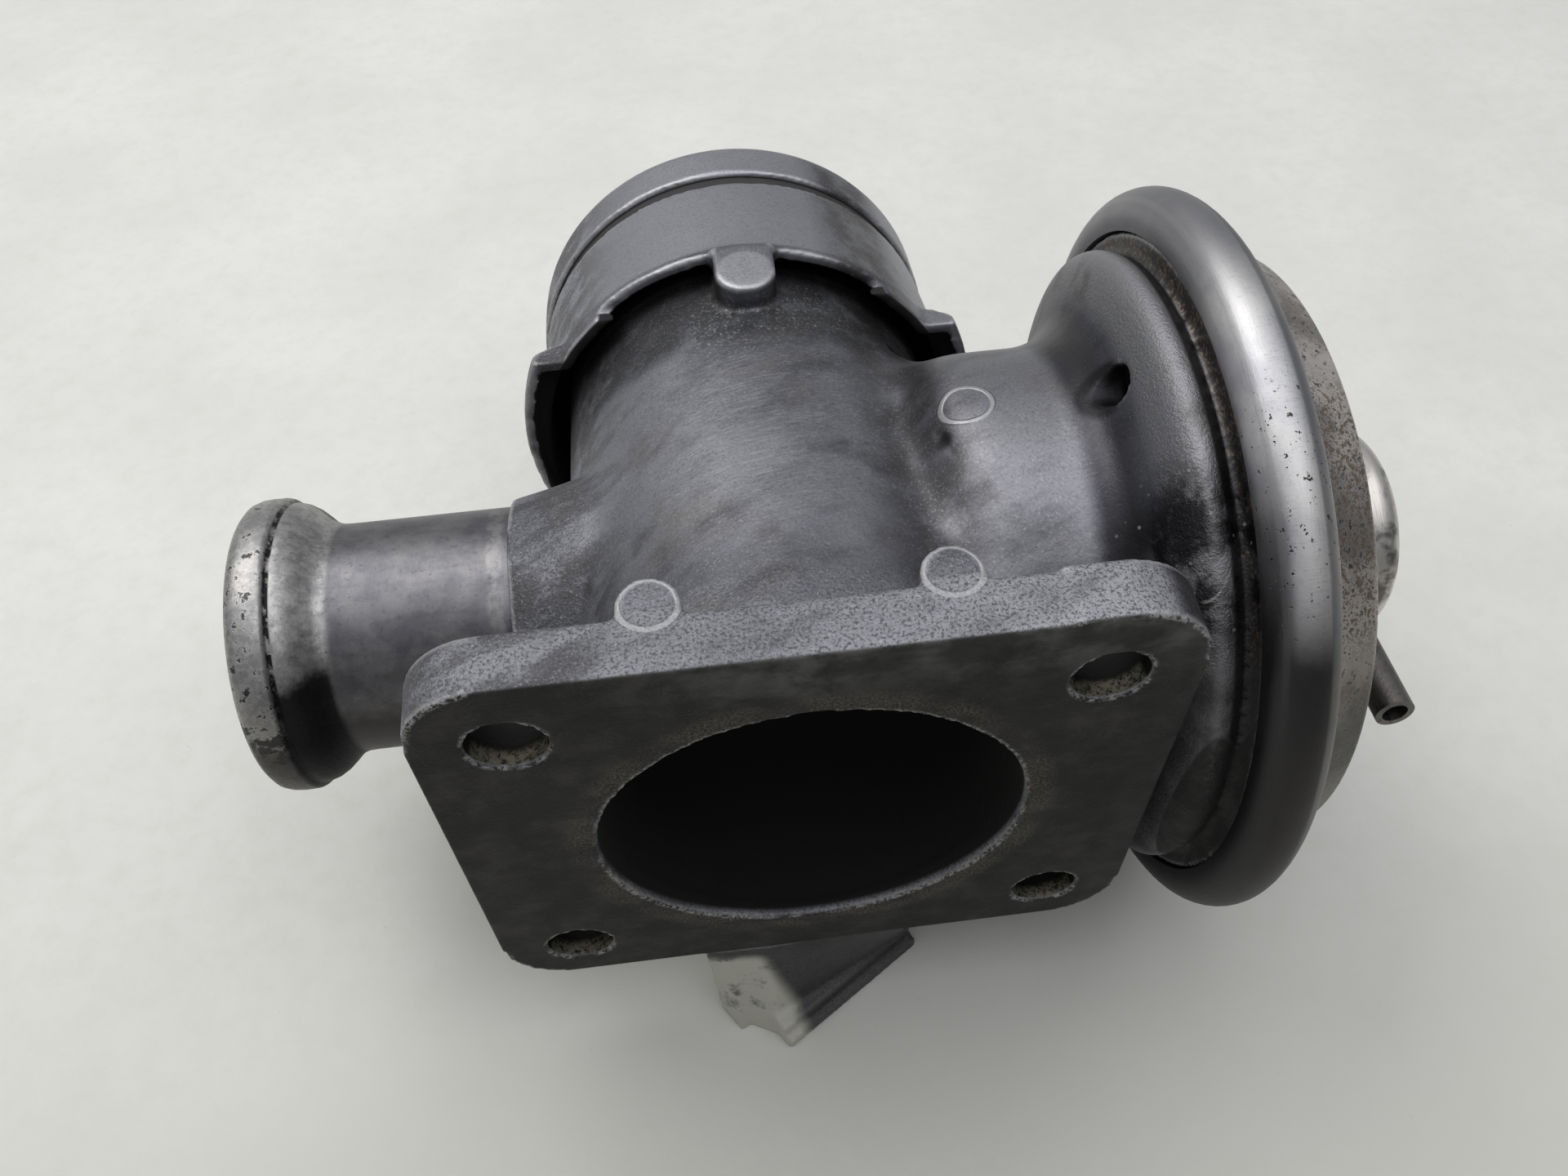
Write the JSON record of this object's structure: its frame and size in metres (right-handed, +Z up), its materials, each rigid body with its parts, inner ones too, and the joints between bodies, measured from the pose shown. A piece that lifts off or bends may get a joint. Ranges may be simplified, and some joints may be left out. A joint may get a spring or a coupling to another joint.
{
  "type": "egr valve",
  "caption": "Vacuum operated exhaust gas recirculation valve: flanged air tube, side exhaust pipe, diaphragm can and sliding poppet.",
  "frame": {"origin": "centre of the air bore on the face of the manifold flange", "axes": "-Y out of the flange face, +X along the valve axis from the exhaust pipe to the vacuum can, +Z up across the flange"},
  "size_m": [0.1507, 0.122, 0.0982],
  "materials": {
    "cast_aluminium": "aged sand-textured casting",
    "pipe_steel": "aged steel",
    "seat_steel": "turned",
    "valve_steel": "sooted",
    "bush_metal": "sintered bronze",
    "seal_rubber": "matt",
    "zinc_steel": "zinc plated",
    "diaphragm_rubber": "matt",
    "spring_steel": "oiled",
    "dark_can_steel": "dark, stained",
    "bright_can_steel": "aged",
    "rim_steel": "brushed"
  },
  "bodies": {
    "valve_body": {"housing": "cast_aluminium", "exhaust_pipe": "pipe_steel", "valve_seat": "seat_steel", "guide_bush": "bush_metal", "stem_seal": "seal_rubber", "seal_cap": "zinc_steel", "rear_can": "dark_can_steel", "can_cap": "bright_can_steel", "vacuum_nipple": "dark_can_steel", "crimp_ring": "rim_steel", "spigot_seal": "seal_rubber", "return_spring": "spring_steel"},
    "poppet_assembly": {"poppet": "valve_steel", "valve_stem": "valve_steel", "front_plate": "zinc_steel", "diaphragm": "diaphragm_rubber", "rear_plate": "zinc_steel", "spring_seat": "zinc_steel", "lock_washer": "zinc_steel", "stem_nut": "zinc_steel"}
  },
  "joints": [
    {"name": "poppet_slide", "type": "slide", "parent": "valve_body", "child": "poppet_assembly", "axis": [1, 0, 0], "range_m": [0, 0.0055], "stiffness_N_per_m": 6000, "deforming": ["diaphragm", "return_spring"]}
  ]
}
